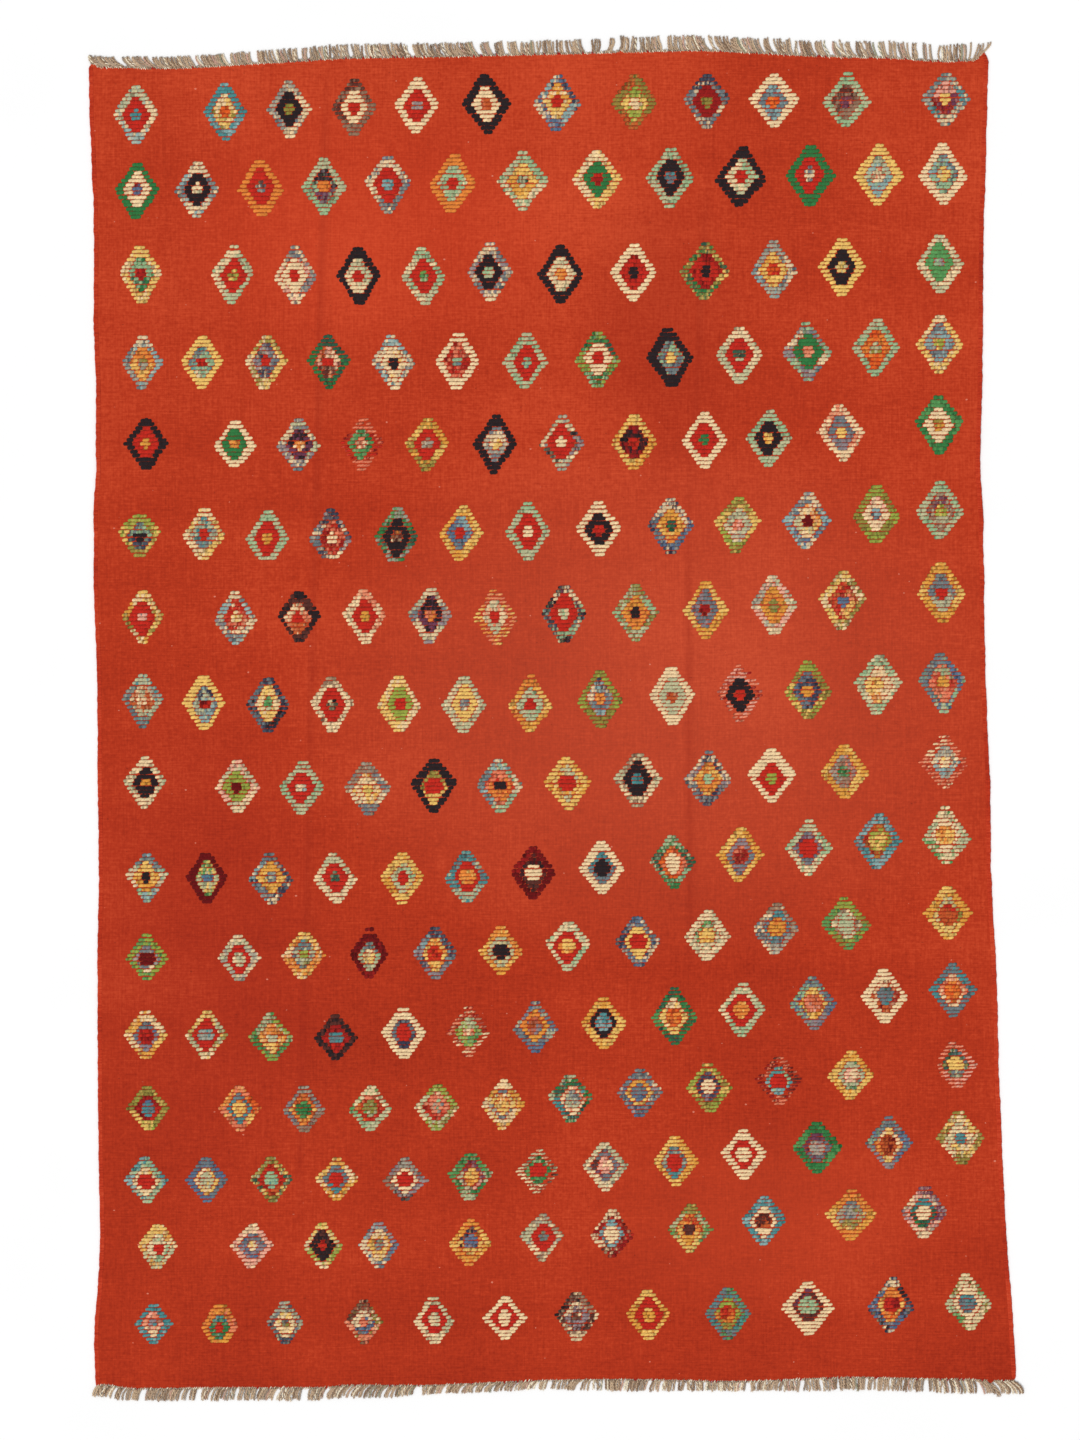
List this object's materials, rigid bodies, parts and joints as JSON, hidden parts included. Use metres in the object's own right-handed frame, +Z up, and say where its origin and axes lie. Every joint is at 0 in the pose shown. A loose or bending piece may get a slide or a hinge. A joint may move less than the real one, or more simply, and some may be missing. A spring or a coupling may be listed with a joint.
{
  "type": "kilim rug",
  "caption": "Flat-woven wool kilim rug, red with rows of small concentric lozenges in mixed colours and a short fringe at each end, lying flat on the floor.",
  "frame": {"origin": "on the floor, under the middle of the rug with its fringes", "axes": "+X across the rug, +Y along it towards the far fringe, +Z up"},
  "size_m": [2.0466, 3.007, 0.0043],
  "materials": {
    "ground_wool": "flat-woven red wool with brocaded lozenges in mixed colours",
    "fringe_wool": "undyed grey-brown and ivory wool warps, twisted and cut",
    "brocade_wool": "soft wool yarns in many colours, some of them mixed"
  },
  "bodies": {
    "root": {"kilim_ground": "ground_wool", "fringe_far": "fringe_wool", "fringe_near": "fringe_wool"}
  },
  "joints": []
}
